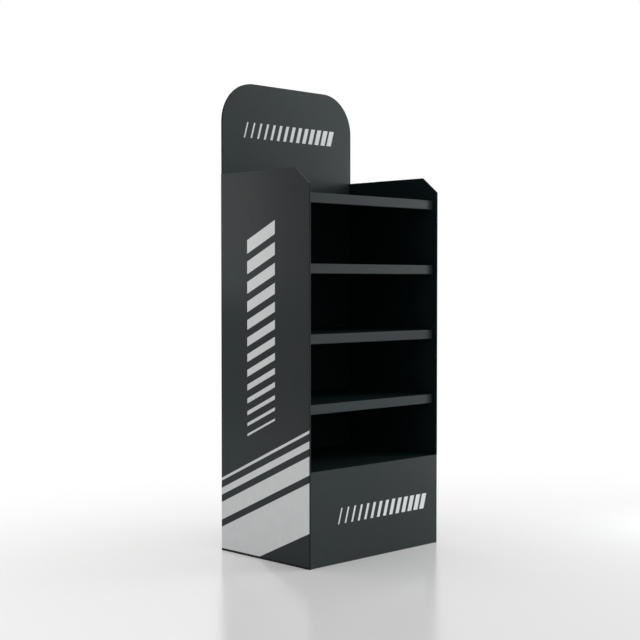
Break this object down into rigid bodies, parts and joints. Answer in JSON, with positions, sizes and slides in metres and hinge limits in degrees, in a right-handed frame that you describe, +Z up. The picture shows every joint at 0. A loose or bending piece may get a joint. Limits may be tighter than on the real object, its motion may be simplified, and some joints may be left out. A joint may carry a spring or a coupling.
{
  "type": "cardboard display stand",
  "caption": "Free-standing corrugated cardboard floor display with open front, shelf trays with folded lips, closed base and a round-cornered header.",
  "frame": {"origin": "on the floor, under the middle of the footprint", "axes": "+Z up, the open front faces -Y, +X to the right as seen from the front"},
  "size_m": [0.58, 0.4, 1.485],
  "materials": {
    "printed_board": "matt charcoal print on corrugated board",
    "plain_board": "unprinted kraft corrugated board",
    "tube_steel": "bright drawn tube"
  },
  "bodies": {
    "root": {"body_wrap": "printed_board", "header_card": "printed_board", "shelf_tray_1": "printed_board", "shelf_tray_2": "printed_board", "shelf_tray_3": "printed_board", "shelf_tray_4": "printed_board", "base_deck": "printed_board", "base_divider_front": "plain_board", "base_divider_rear": "plain_board", "base_divider_left": "plain_board", "base_divider_middle": "plain_board", "base_divider_right": "plain_board", "lip_tube_1": "tube_steel", "lip_tube_2": "tube_steel", "lip_tube_3": "tube_steel", "lip_tube_4": "tube_steel"}
  },
  "joints": []
}
